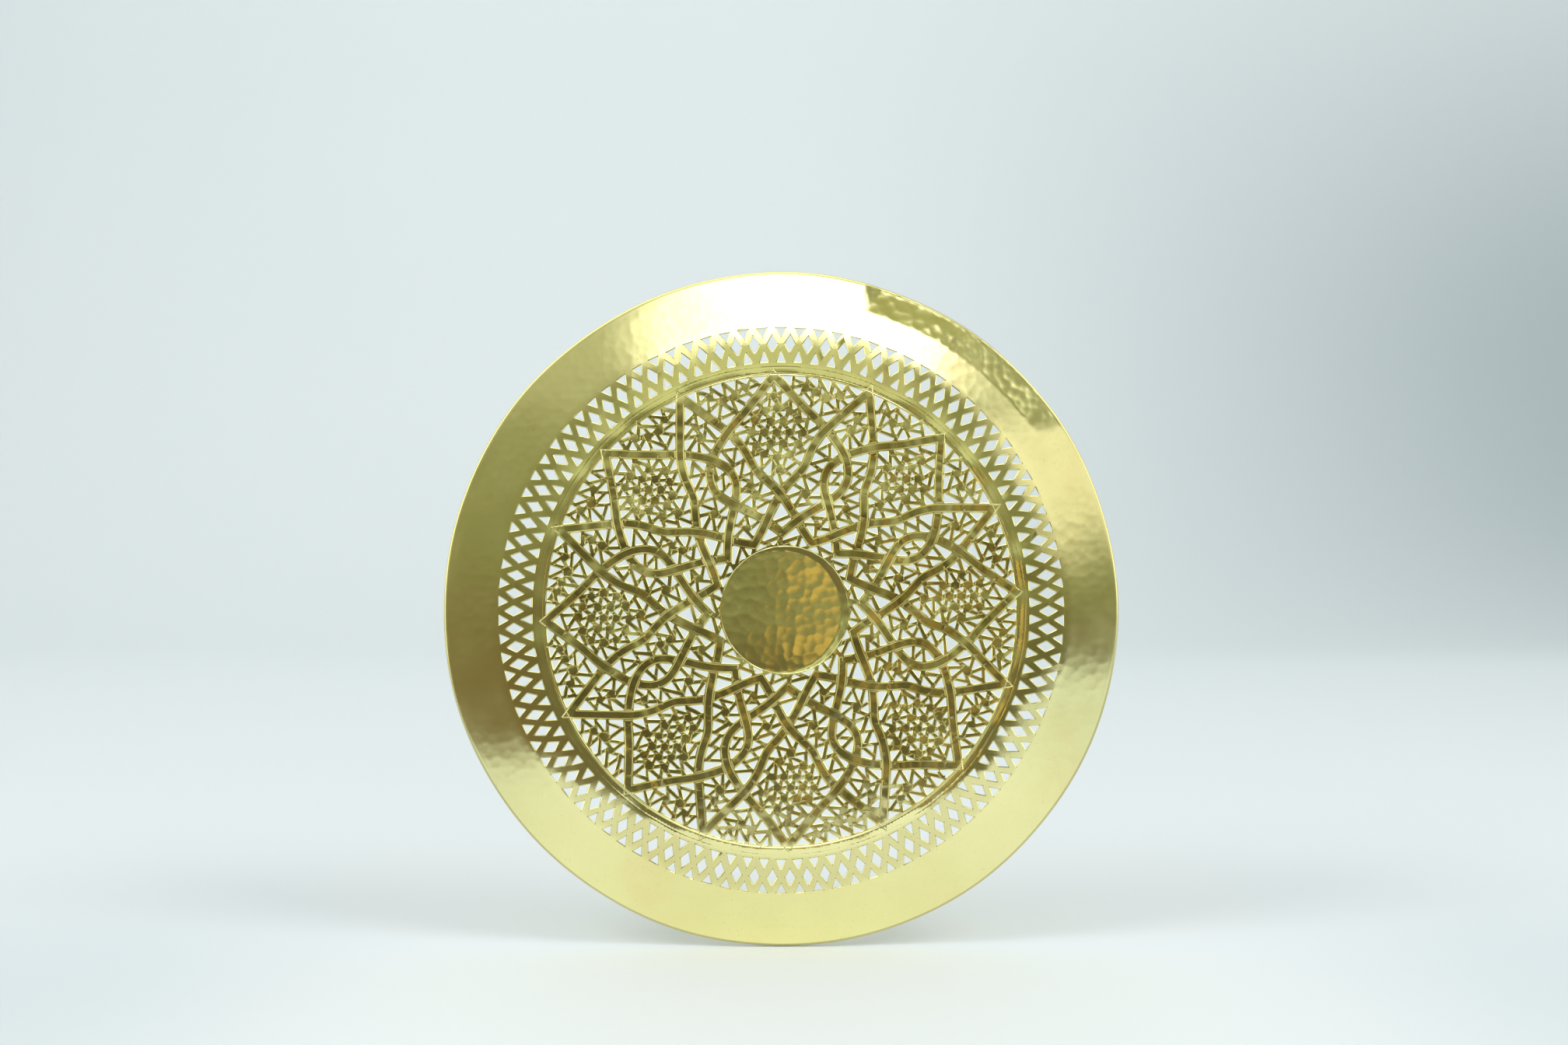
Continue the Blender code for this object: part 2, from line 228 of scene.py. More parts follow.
def smooth_curve(points, step):
    """Catmull-Rom curve through the points, with a sample about every step."""
    ends = [points[0]] + points + [points[-1]]
    curve = []
    for p0, p1, p2, p3 in zip(ends, ends[1:], ends[2:], ends[3:]):
        pieces = max(1, round(apart(p1, p2) / step))
        for k in range(pieces):
            t = k / pieces
            curve.append(tuple(
                0.5 * (2 * b + (c - a) * t + (2 * a - 5 * b + 4 * c - d) * t * t
                       + (3 * b - a - 3 * c + d) * t ** 3)
                for a, b, c, d in zip(p0, p1, p2, p3)))
    curve.append(points[-1])
    return curve


def eased(curve):
    """The curve with its small kinks smoothed out; its ends stay put."""
    line = np.array(curve)
    for _ in range(EASING_ROUNDS):
        line[1:-1] = (line[:-2] + 2 * line[1:-1] + line[2:]) / 4
    return [tuple(point) for point in line.tolist()]


def from_disc_middle(u, v):
    """Distance of points from the middle of the centre disc."""
    share = 1 - (CENTRE_DISC_RADIUS / FLOOR_RADIUS) ** 2
    return np.hypot(u - CENTRE_ERROR[0] * share, v - CENTRE_ERROR[1] * share)


def circle(radius, count):
    return [polar(360.0 * k / count, radius) for k in range(count)]


def signed_area(loop):
    return sum(a[0] * b[1] - b[0] * a[1] for a, b in pairs(loop)) / 2


def distance_to_line(point, line, closed=True):
    best = 1e9
    for a, b in zip(line, line[1:] + line[:1] if closed else line[1:]):
        dx, dy = b[0] - a[0], b[1] - a[1]
        t = ((point[0] - a[0]) * dx + (point[1] - a[1]) * dy) / max(dx * dx + dy * dy, 1e-12)
        t = min(max(t, 0.0), 1.0)
        best = min(best, hypot(point[0] - a[0] - t * dx, point[1] - a[1] - t * dy))
    return best


def sideways(path, distance, corners=()):
    """A closed path moved sideways and mitred.

    Points that fold over inside a sharp corner join its mitre.
    """
    count = len(path)
    moved = []
    for k, (x, y) in enumerate(path):
        nx = ny = 0.0
        for a, b in ((path[k - 1], (x, y)), ((x, y), path[(k + 1) % count])):
            length = apart(a, b)
            nx -= (b[1] - a[1]) / length / 2
            ny += (b[0] - a[0]) / length / 2
        reach = distance / max(nx * nx + ny * ny, MITRE_LIMIT)
        moved.append((x + nx * reach, y + ny * reach))
    for corner in corners:
        for way in (-1, 1):
            opposite = [path[(corner - way * k) % count] for k in range(FOLD_POINTS + 4)]
            for k in range(1, FOLD_POINTS + 1):
                spot = (corner + way * k) % count
                if distance_to_line(moved[spot], opposite, closed=False) < abs(distance) - 0.01:
                    moved[spot] = moved[corner]
    return moved


def stretches(corners, count):
    """Indices from each corner of a closed path on to the next."""
    return [[k % count for k in range(first, last + 1)]
            for first, last in zip(corners, corners[1:] + [corners[0] + count])]


def without_repeats(points):
    """Drops every point that is the same as the one before it."""
    return [p for k, p in enumerate(points) if k == 0 or p != points[k - 1]]


class Drawing:
    """Points, lines and outlines that are triangulated together."""

    def __init__(self):
        self.points = []
        self.edges = []
        self.outlines = []

    def add(self, points):
        first = len(self.points)
        self.points += [Vector(p) for p in points]
        return list(range(first, len(self.points)))

    def line(self, points, closed=False):
        run = self.add(points)
        self.edges += list(zip(run, run[1:]))
        if closed:
            self.edges.append((run[-1], run[0]))

    def outline(self, loop):
        self.outlines.append(self.add(loop if signed_area(loop) > 0 else loop[::-1]))

    def triangulated(self):
        """Vertices, triangles, and for each triangle the set of outlines that cover it."""
        vertices, _, triangles, _, _, covers = delaunay_2d_cdt(
            self.points, self.edges, self.outlines, 0, MERGE, True)
        return [tuple(v) for v in vertices], triangles, [set(c) for c in covers]


def boundary_loops(triangles):
    """Table of following vertices round each connected group of triangles."""
    neighbours = {}
    for index, triangle in enumerate(triangles):
        for a, b in pairs(triangle):
            neighbours[(a, b)] = index
    seen = set()
    loops = []
    for start in range(len(triangles)):
        if start in seen:
            continue
        seen.add(start)
        group = [start]
        following = {}
        for index in group:
            triangle = triangles[index]
            for a, b in pairs(triangle):
                other = neighbours.get((b, a))
                if other is None:
                    following[a] = b
                elif other not in seen:
                    seen.add(other)
                    group.append(other)
        loops.append(following)
    return loops


def walk(following, vertices):
    """The largest closed loop in a table of following vertices."""
    left = dict(following)
    best = []
    while left:
        first, vertex = next(iter(left.items()))
        loop = [first]
        del left[first]
        while vertex != first and vertex in left:
            loop.append(vertex)
            vertex = left.pop(vertex)
        points = [vertices[v] for v in loop]
        if vertex == first and signed_area(points) > signed_area(best):
            best = points
    return best


def simplified(loop):
    """Drops the points that are too close to the last one or lie on a straight run."""
    kept = []
    for point in loop:
        if not kept or apart(kept[-1], point) > SHORTEST_SIDE:
            kept.append(point)
    while len(kept) > 3 and apart(kept[-1], kept[0]) <= SHORTEST_SIDE:
        kept.pop()
    changed = True
    while changed and len(kept) > 3:
        changed = False
        for k, point in enumerate(kept):
            before = kept[k - 1]
            after = kept[(k + 1) % len(kept)]
            base = apart(before, after)
            if base > 0 and abs(signed_area([before, point, after])) * 2 / base < FLATTEST_CORNER:
                del kept[k]
                changed = True
                break
    return kept


def inside(point, loop):
    odd = False
    for a, b in pairs(loop):
        if (a[1] > point[1]) != (b[1] > point[1]):
            if point[0] < a[0] + (point[1] - a[1]) * (b[0] - a[0]) / (b[1] - a[1]):
                odd = not odd
    return odd


def corners_of(loop, least_turn):
    """Indices of the points where a loop turns by more than an angle, in degrees."""
    found = []
    for k, point in enumerate(loop):
        before = loop[k - 1]
        after = loop[(k + 1) % len(loop)]
        turn = (atan2(after[1] - point[1], after[0] - point[0])
                - atan2(point[1] - before[1], point[0] - before[0]))
        if abs((turn + pi) % (2 * pi) - pi) > radians(least_turn):
            found.append(k)
    return found


def sampled(points, spacing, closed=True):
    """Dense samples along a line."""
    ends = points[1:] + points[:1] if closed else points[1:]
    samples = []
    for a, b in zip(points, ends):
        pieces = max(1, ceil(apart(a, b) / spacing))
        samples += [toward(a, b, k / pieces) for k in range(pieces)]
    return samples


# ---- strapwork

def strap_paths():
    """Middle lines of the straps as closed paths, each with the indices of its sharp corners."""
    def arm(shape, axis, side):
        points = [set_out(axis + side * degrees, radius) for degrees, radius in shape]
        return eased(smooth_curve(points, CURVE_STEP))

    paths = []
    for petal in range(PETALS):
        axis = petal * 360.0 / PETALS
        right = arm(LARGE_PETAL_ARM, axis, 1)
        left = arm(LARGE_PETAL_ARM, axis, -1)
        paths.append((right[:-1] + left[:0:-1], [0, len(right) - 1]))
    for first in (0, 1):
        path = []
        corners = []
        for petal in range(first, PETALS, 2):
            axis = (petal + 0.5) * 360.0 / PETALS
            left = arm(SMALL_PETAL_ARM, axis, -1)
            right = arm(SMALL_PETAL_ARM, axis, 1)
            corners.append(len(path))
            path += left[:0:-1]
            corners.append(len(path))
            path += right[:-1]
        paths.append((path, corners))
    return paths


def strap_outlines(paths):
    """Outline of each stretch of strap between two corners."""
    outlines = []
    for path, corners in paths:
        left = sideways(path, STRAP_WIDTH / 2, corners)
        right = sideways(path, -STRAP_WIDTH / 2, corners)
        for run in stretches(corners, len(path)):
            outlines.append(without_repeats([left[k] for k in run] + [right[k] for k in reversed(run)]))
    return outlines


def crossings(path, other):
    """Places, as fractional indices, where one closed path crosses another."""
    p = np.array(path)
    q = np.array(other)
    dp = np.roll(p, -1, axis=0) - p
    dq = np.roll(q, -1, axis=0) - q
    gap = q[None, :, :] - p[:, None, :]
    cross = dp[:, None, 0] * dq[None, :, 1] - dp[:, None, 1] * dq[None, :, 0]
    cross[np.abs(cross) < 1e-9] = 1e-9
    t = (gap[:, :, 0] * dq[None, :, 1] - gap[:, :, 1] * dq[None, :, 0]) / cross
    s = (gap[:, :, 0] * dp[:, None, 1] - gap[:, :, 1] * dp[:, None, 0]) / cross
    hits = np.argwhere((t >= 0) & (t < 1) & (s >= 0) & (s < 1))
    return [(i + t[i, j], j + s[i, j]) for i, j in hits]


def interlace(paths):
    """For each path, the places where it passes under another path: (place, other path, its place)."""
    meetings = []
    along = [[] for _ in paths]
    for i, (path, _) in enumerate(paths):
        for j in range(i + 1, len(paths)):
            for here, there in crossings(path, paths[j][0]):
                along[i].append((here, len(meetings)))
                along[j].append((there, len(meetings)))
                meetings.append({i: here, j: there})
    order = [[meeting for _, meeting in sorted(places)] for places in along]
    over = {}
    for start in range(len(meetings)):
        if start in over:
            continue
        over[start] = min(meetings[start])
        waiting = [start]
        for meeting in waiting:
            for i in meetings[meeting]:
                spot = order[i].index(meeting)
                for step in (-1, 1):
                    other = order[i][(spot + step) % len(order[i])]
                    if other not in over:
                        rival = next(j for j in meetings[other] if j != i)
                        over[other] = rival if over[meeting] == i else i
                        waiting.append(other)
    under = [[] for _ in paths]
    for meeting, places in enumerate(meetings):
        top = over[meeting]
        low = next(j for j in places if j != top)
        under[low].append((places[low], top, places[top]))
    return under


def groove_lines(path, corners, run, distance):
    """The two sides and the middle of a chased line along part of a path."""
    lines = []
    for offset in GROOVE_SECTION:
        moved = sideways(path, distance + offset, corners)
        lines.append(without_repeats([moved[k] for k in run]))
    return lines


def indices_over(line, place, path, there, least):
    """Indices of the line, near a place, that lie within a distance of another path."""
    window = round(CROSSING_REACH * STRAP_WIDTH / CURVE_STEP)
    stretch = [path[k % len(path)] for k in range(round(there) - window, round(there) + window)]
    near = []
    for k in range(round(place) - window, round(place) + window + 1):
        u, v = line[k % len(line)]
        if min(hypot(u - x, v - y) for x, y in stretch) < least:
            near.append(k % len(line))
    return near


def strap_grooves(paths):
    """Chased lines along both sides of every strap.

    A strap's own lines break off where it passes under another strap, and where it passes over one its
    sides are chased as well.
    """
    grooves = []
    for (path, corners), unders in zip(paths, interlace(paths)):
        count = len(path)
        for side in (1, -1):
            inset = side * (STRAP_WIDTH / 2 - GROOVE_INSET)
            middle = sideways(path, inset, corners)
            hidden = set()
            for place, other, there in unders:
                hidden.update(indices_over(middle, place, paths[other][0], there,
                                           STRAP_WIDTH / 2 + UNDER_GAP))
                top, top_corners = paths[other]
                edge = sideways(top, side * STRAP_WIDTH / 2, top_corners)
                run = indices_over(edge, there, path, place, STRAP_WIDTH / 2 - OVER_GAP)
                grooves.append(groove_lines(top, top_corners, run, side * STRAP_WIDTH / 2))
            runs = []
            for k in range(count):
                if k in hidden:
                    continue
                if runs and runs[-1][-1] == k - 1:
                    runs[-1].append(k)
                else:
                    runs.append([k])
            if len(runs) > 1 and runs[0][0] == 0 and runs[-1][-1] == count - 1:
                runs[0] = runs.pop() + runs[0]
            grooves += [groove_lines(path, corners, run, inset) for run in runs]
    return [groove for groove in grooves if len(groove[1]) > 2]


# ---- openings

def openings_between(outlines, smallest):
    """Loops of the floor ring that no outline covers."""
    drawing = Drawing()
    drawing.outline(circle(FLOOR_RADIUS, 240))
    drawing.outline([off_centre(3.0 * k, CENTRE_DISC_RADIUS) for k in range(120)])
    for outline in outlines:
        drawing.outline(outline)
    vertices, triangles, covers = drawing.triangulated()
    bare = [t for t, cover in zip(triangles, covers) if cover == {0}]
    loops = [simplified(walk(following, vertices)) for following in boundary_loops(bare)]
    return [loop for loop in loops if len(loop) > 2 and signed_area(loop) > smallest]


def resampled(loop, spacing):
    """Corners of a loop with evenly spaced points between them."""
    corners = corners_of(loop, CELL_CORNER)
    if len(corners) < 2:
        corners = [0, len(loop) // 2]
    points = []
    for stretch in stretches(corners, len(loop)):
        run = [loop[k] for k in stretch]
        lengths = [apart(a, b) for a, b in zip(run, run[1:])]
        pieces = max(1, round(sum(lengths) / spacing))
        for k in range(pieces):
            target = sum(lengths) * k / pieces
            i = 0
            while i < len(lengths) - 1 and target > lengths[i]:
                target -= lengths[i]
                i += 1
            points.append(toward(run[i], run[i + 1], target / lengths[i]))
    return points


def rosette_points(loop, spacing):
    """Rings of points round the roomiest spot of a cell, then single points wherever there is room."""
    low = (min(p[0] for p in loop), min(p[1] for p in loop))
    high = (max(p[0] for p in loop), max(p[1] for p in loop))
    step = spacing / 5
    grid = []
    for i in range(ceil((high[0] - low[0]) / step)):
        for j in range(ceil((high[1] - low[1]) / step)):
            point = (low[0] + i * step, low[1] + j * step)
            if inside(point, loop):
                grid.append((distance_to_line(point, loop), point))
    if not grid:
        return []
    grid.sort(reverse=True)
    room, centre = grid[0]
    if room < POINT_ROOM * spacing:
        return []
    chosen = [centre]
    ring = 1
    while room - ring * RING_PITCH * spacing > RING_ROOM * spacing:
        count = 6 * ring
        for k in range(count):
            angle = 360.0 * (k + 0.5 * ring) / count
            offset = polar(angle, RING_PITCH * spacing * ring)
            chosen.append((centre[0] + offset[0], centre[1] + offset[1]))
        ring += 1
    for depth, point in grid:
        if depth < POINT_ROOM * spacing:
            break
        if all(apart(c, point) > POINT_GAP * spacing for c in chosen):
            chosen.append(point)
    return chosen


def bar(a, b, width, turn, overrun):
    """Straight bar from a to b, turned about its middle and run on past both ends."""
    mx, my = (a[0] + b[0]) / 2, (a[1] + b[1]) / 2
    length = apart(a, b)
    direction = atan2(b[1] - a[1], b[0] - a[0]) + radians(turn)
    reach = length / 2 + overrun
    along = (cos(direction) * reach, sin(direction) * reach)
    across = (-sin(direction) * width / 2, cos(direction) * width / 2)
    return [(mx + s * along[0] + t * across[0], my + s * along[1] + t * across[1])
            for s, t in ((-1, -1), (1, -1), (1, 1), (-1, 1))]


def cell_bars(loop):
    """Bars between the points of one cell of the strapwork."""
    border = resampled(loop, BAR_SPACING)
    points = border + rosette_points(loop, BAR_SPACING)
    face = [list(range(len(border)))]
    _, _, triangles, sources, _, covers = delaunay_2d_cdt(
        [Vector(p) for p in points], [], face, 0, MERGE, True)
    rim_edges = {frozenset((k, (k + 1) % len(border))) for k in range(len(border))}
    edges = set()
    for triangle, cover in zip(triangles, covers):
        if cover:
            for a, b in pairs(triangle):
                pair = frozenset((sources[a][0], sources[b][0]))
                if pair not in rim_edges:
                    edges.add(pair)
    bars = []
    for first, last in sorted(tuple(sorted(pair)) for pair in edges):
        width = BAR_WIDTH + stray(BAR_WIDTH_SPREAD)
        turn = BAR_TURN + stray(BAR_TURN_SPREAD)
        bars.append(bar(points[first], points[last], width, turn, BAR_OVERRUN))
    return bars


def bar_grooves(bars, loops):
    """Chased lines that part the bars where they meet, so that each bar seems to lie over the next one."""
    edges = tree_of([spot for loop in loops for spot in sampled(loop, 0.5)])
    grooves = []
    for corners in bars:
        for tip, root in ((corners[2], corners[3]), (corners[0], corners[1])):
            length = apart(root, tip)
            along = ((tip[0] - root[0]) / length, (tip[1] - root[1]) / length)
            kept = []
            for k in range(ceil(length / 2 / OVERLAP_STEP)):
                reach = length / 2 + OVERLAP_STEP * k
                point = (root[0] + along[0] * reach, root[1] + along[1] * reach)
                clear = edges.find((*point, 0.0))[2] > BEVEL_WIDTH
                if clear and from_disc_middle(*point) > CENTRE_DISC_RADIUS:
                    kept.append(point)
            if len(kept) > 2:
                grooves.append([[(u - along[1] * offset, v + along[0] * offset) for u, v in kept]
                                for offset in GROOVE_SECTION])
    return grooves


def lattice_openings():
    """Three rows of openings on the bend: triangles, rhombi, triangles."""
    pitch = 360.0 / LATTICE_UNITS
    half = pitch * TRIANGLE_SHARE / 2
    waist_half = pitch * RHOMBUS_SHARE / 2
    loops = []
    for unit in range(LATTICE_UNITS):
        middle = unit * pitch
        gap_middle = middle + pitch / 2
        low, high = LATTICE_INNER
        loops.append([polar(middle - half, low), polar(middle + half, low), polar(middle, high)])
        low, high = LATTICE_MIDDLE
        waist = (low + high) / 2
        loops.append([polar(gap_middle, low), polar(gap_middle + waist_half, waist),
                      polar(gap_middle, high), polar(gap_middle - waist_half, waist)])
        low, high = LATTICE_OUTER
        loops.append([polar(middle, low), polar(middle + half, high), polar(middle - half, high)])
    return [[(u + stray(LATTICE_JITTER), v + stray(LATTICE_JITTER)) for u, v in loop] for loop in loops]


# ---- relief

def drop(radius):
    """How far the face lies behind the flat floor at a radius."""
    slope = tan(radians(RIM_TILT))
    bend = np.clip(radius - BEND_START_RADIUS, 0.0, BEND_END_RADIUS - BEND_START_RADIUS)
    return (slope * bend ** 2 / (2 * (BEND_END_RADIUS - BEND_START_RADIUS))
            + slope * np.maximum(radius - BEND_END_RADIUS, 0.0))


CURL_INNER = WIRE_RADIUS + WIRE_GAP
CURL_OUTER = CURL_INNER + SHEET
BEAD_RADIUS = TRAY_RADIUS - CURL_OUTER
BEAD_DEPTH = drop(BEAD_RADIUS + CURL_OUTER * sin(radians(RIM_TILT))) + CURL_OUTER * cos(radians(RIM_TILT))


def waves(points, height, length, count, seed):
    """Smooth random field of about a height, with humps of about a length."""
    source = np.random.default_rng(seed)
    total = np.zeros(len(points))
    for _ in range(count):
        heading = source.uniform(0, 2 * pi)
        number = 2 * pi / (length * source.uniform(0.7, 1.5))
        phase = source.uniform(0, 2 * pi)
        total += np.sin(number * (points[:, 0] * cos(heading) + points[:, 1] * sin(heading)) + phase)
    return height * (total / count ** 0.5)


def hammer_marks(points, spacing, dish_radius, seed):
    """Depth of overlapping shallow dents, one for each blow of the hammer."""
    source = np.random.default_rng(seed)
    cells = int(2 * TRAY_RADIUS / spacing) + 8
    strays = source.uniform(-MARK_STRAY, MARK_STRAY, (cells, cells, 2))
    blows = source.uniform(-MARK_SPREAD, MARK_SPREAD, (cells, cells)) * (spacing / 2) ** 2 / dish_radius
    scaled = points / spacing + cells / 2
    home = np.floor(scaled).astype(int)
    deepest = np.full(len(points), -1e9)
    for i in (-1, 0, 1):
        for j in (-1, 0, 1):
            row = np.clip(home[:, 0] + i, 0, cells - 1)
            column = np.clip(home[:, 1] + j, 0, cells - 1)
            du = (row + 0.5 + strays[row, column, 0] - scaled[:, 0]) * spacing
            dv = (column + 0.5 + strays[row, column, 1] - scaled[:, 1]) * spacing
            deepest = np.maximum(deepest, blows[row, column] - (du * du + dv * dv) / (2 * dish_radius))
    return deepest


def between(value, low, high):
    """Smooth step from 0 at low to 1 at high."""
    t = np.clip((value - low) / (high - low), 0.0, 1.0)
    return t * t * (3 - 2 * t)


def radius_and_turn(points):
    """Distances from the middle of the tray, and clockwise angles from its top in radians."""
    return np.hypot(points[:, 0], points[:, 1]), np.arctan2(points[:, 0], points[:, 1])


def humps(rows, turn):
    """Sum of waves round the tray, as (size, humps round the tray, phase)."""
    return sum(size * np.sin(number * turn + phase) for size, number, phase in rows)


def sheet_depth(points):
    """Depth of the sheet's face without the chased lines and the edges of the openings."""
    radius, turn = radius_and_turn(points)
    angle = np.degrees(turn) % 360.0
    depth = drop(radius)
    on_disc = 1 - between(radius, *DISC_FADE)
    on_rim = between(radius, *RIM_FADE)
    on_floor = (1 - on_disc) * (1 - on_rim)
    on_fret = on_floor * (1 - between(radius, 171.0, 173.5))
    depth += on_disc * (hammer_marks(points, *DISC_MARKS) + DOME * radius ** 2)
    depth += on_rim * (1 - between(radius, *RIM_MARKS_END)) * hammer_marks(points, *RIM_MARKS)
    depth += on_fret * waves(points, *FRET_WAVES) + on_floor * waves(points, *FLOOR_WAVES)
    depth += waves(points, *SHEET_WAVES) * (1 - 0.6 * between(radius, 240.0, 248.0))
    dent = between(angle, *DENT_START) * (1 - between(angle, *DENT_END))
    depth += DENT_SLOPE * dent * np.clip(radius - DENT_RADIUS, 0.0, DENT_WIDTH)
    depth += dent * between(radius, DENT_RADIUS - 1, DENT_RADIUS + 2) * hammer_marks(points, *DENT_MARKS)
    depth += humps(WARP, turn) * (radius / TRAY_RADIUS) ** 2
    return depth


def rear_depth(points):
    """Depth of the rear face, with the coarser marks of the raising hammer."""
    return sheet_depth(points) + SHEET + hammer_marks(points, *REAR_MARKS)


def rear_grime(points):
    """The rear is never polished, so it is duller than the face and patchy."""
    return np.clip(REAR_GRIME + sum(waves(points, *settings) for settings in REAR_GRIME_WAVES), 0.0, 1.0)


def outline_wander(points):
    """The points with the slightly uneven outline of a disc cut by hand."""
    radius, turn = radius_and_turn(points)
    wander = humps(WANDER, turn) * between(radius, SEAM_RADIUS, TRAY_RADIUS)
    return points * (1 + wander / np.maximum(radius, 1.0))[:, None]


def in_world(points, depth):
    """World positions, in metres, of plane points at their depths."""
    moved = outline_wander(points)
    return np.column_stack([moved[:, 0], depth - SHEET, moved[:, 1]]) / 1000


def tree_of(points):
    tree = KDTree(len(points))
    for index, (u, v) in enumerate(points):
        tree.insert((u, v, 0.0), index)
    tree.balance()
    return tree


def distances(points, tree):
    return np.array([tree.find((u, v, 0.0))[2] for u, v in points])


def pit_middles(loops):
    """Spots just beyond the sharp corners of the openings."""
    pits = []
    for loop in loops:
        for k in corners_of(loop, PIT_CORNER):
            u, v = loop[k]
            before = Vector(loop[k - 1]) - Vector((u, v))
            after = Vector(loop[(k + 1) % len(loop)]) - Vector((u, v))
            inward = before.normalized() + after.normalized()
            if inward.length > 0.3 and before.cross(after) < 0:
                outward = -inward.normalized() * (PIT_REACH + random.uniform(0, PIT_STRAY))
                pits.append((u + outward.x, v + outward.y))
    return pits


# ---- meshes

def make_object(name, points, faces, attributes, material, sharp_angle):
    data = bpy.data.meshes.new(name)
    data.from_pydata([tuple(p) for p in points], [], faces)
    for label, values in attributes.items():
        layer = data.attributes.new(label, "FLOAT", "POINT")
        layer.data.foreach_set("value", np.asarray(values, dtype=np.float32))
    data.materials.append(material)
    data.update()
    data.shade_smooth()
    data.set_sharp_from_angle(angle=radians(sharp_angle))
    made = bpy.data.objects.new(name, data)
    bpy.context.scene.collection.objects.link(made)
    return made


def hex_grid(radius_low, radius_high, spacing):
    """Points of a triangular grid between two radii."""
    points = []
    rows = ceil(2 * radius_high / (spacing * 0.866))
    for j in range(rows):
        for i in range(ceil(2 * radius_high / spacing)):
            u = -radius_high + (i + 0.5 * (j % 2)) * spacing
            v = -radius_high + j * spacing * 0.866
            if radius_low < hypot(u, v) < radius_high:
                points.append((u, v))
    return points


def fret_drawing(loops, grooves, pits):
    """Everything that shapes the sheet's face inside the seam with the rim."""
    drawing = Drawing()
    drawing.outline(circle(SEAM_RADIUS, SEAM_POINTS))
    for loop in loops:
        drawing.outline(loop)
    for loop in loops:
        for width in (LIP_WIDTH, BEVEL_WIDTH):
            drawing.line(sideways(loop, -width), closed=True)
    for groove in grooves:
        for line in groove:
            drawing.line(line)
    for radius, half_width, _ in RING_LINES:
        for offset in (-half_width, 0.0, half_width):
            drawing.line(circle(radius + offset, 540), closed=True)
    radius, half_width, _ = DISC_LINE
    for offset in (-half_width, 0.0, half_width):
        drawing.line([off_centre(1.5 * k, radius + offset) for k in range(240)], closed=True)
    for u, v in pits:
        drawing.line([(u + x, v + y) for x, y in circle(PIT_RADIUS, 6)], closed=True)
        drawing.add([(u, v)])
    drawing.add(hex_grid(0.0, CENTRE_DISC_RADIUS, DISC_GRID))
    drawing.add(hex_grid(FLOOR_RADIUS + 1.0, LATTICE_INNER[0] - 0.8, BAND_GRID))
    return drawing


def fading(distance, reach):
    """Falls from 1 at no distance to 0 at the reach."""
    return np.clip(1 - distance / reach, 0.0, 1.0)


def circle_groove(radius, lines):
    depth = np.zeros(len(radius))
    for middle, half_width, deep in lines:
        depth = np.maximum(depth, deep * fading(np.abs(radius - middle), half_width))
    return depth


def face_relief(points, loops, grooves, pits):
    """Depth of the fretwork's face at the points, and its grime together with painted shade."""
    edge = distances(points, tree_of([s for loop in loops for s in sampled(loop, 0.3)]))
    chased = distances(points, tree_of([s for g in grooves for s in sampled(g[1], 0.35, closed=False)]))
    radius, _ = radius_and_turn(points)
    disc_radius = from_disc_middle(points[:, 0], points[:, 1])
    lip = fading(edge, LIP_WIDTH)
    groove = fading(chased, GROOVE_HALF_WIDTH)
    hollow = fading(distances(points, tree_of(pits)), PIT_RADIUS)
    depth = sheet_depth(points) + BEVEL_DEPTH * fading(edge, BEVEL_WIDTH) + LIP_DEPTH * lip
    depth += np.maximum(GROOVE_DEPTH * groove, PIT_DEPTH * hollow)
    depth += circle_groove(radius, RING_LINES) + circle_groove(disc_radius, [DISC_LINE])
    on_fret = between(disc_radius, CENTRE_DISC_RADIUS - 1.0, CENTRE_DISC_RADIUS)
    on_fret = on_fret * between(FLOOR_RADIUS - radius, 0.0, 1.5)
    on_lattice = between(radius, 180.5, 183.0) * (1 - between(radius, 207.5, 209.0))
    # Painted shade on the flat tops of the fretwork, away from the edges of the openings, in patches.
    painted_shade_flats = on_fret * between(edge, LIP_WIDTH, BEVEL_WIDTH)
    grime_and_shade = painted_shade_flats * (FRET_PAINTED_SHADE + waves(points, *FRET_SHADE_WAVES)) + LATTICE_DARKENING * on_lattice
    # The lips are darkened; the chased lines and the pits hold dirt.
    grime_and_shade += LIP_DARKENING * lip + GROOVE_GRIME * groove + PIT_GRIME * hollow
    return depth, np.clip(grime_and_shade, 0.0, 1.0)


def rim_rows():
    """Rows of points from the seam, round the rolled edge and back to the seam on the rear.

    Each row is its radius, its depth where that is set by the roll, and the part of the rim that it is on.
    """
    def rolled(step, radius):
        angle = radians(RIM_TILT - 90.0 + CURL_END * step / CURL_STEPS)
        return (BEAD_RADIUS + radius * cos(angle), BEAD_DEPTH + radius * sin(angle), "curl")

    face_end = BEAD_RADIUS + CURL_OUTER * sin(radians(RIM_TILT))
    back_start = BEAD_RADIUS + CURL_INNER * sin(radians(RIM_TILT))
    rows = [(SEAM_RADIUS + (face_end - SEAM_RADIUS) * k / FACE_STEPS, None, "face")
            for k in range(1, FACE_STEPS + 1)]
    rows += [rolled(k, CURL_OUTER) for k in range(1, CURL_STEPS + 1)]
    rows += [rolled(k, CURL_INNER) for k in range(CURL_STEPS, -1, -3)]
    rows += [(back_start + (SEAM_RADIUS - back_start) * k / BACK_STEPS, None, "back")
             for k in range(1, BACK_STEPS)]
    return rows


def band(before, after):
    """Faces between two closed rows of points."""
    return [(a, c, d, b) for (a, b), (c, d) in zip(pairs(before), pairs(after))]


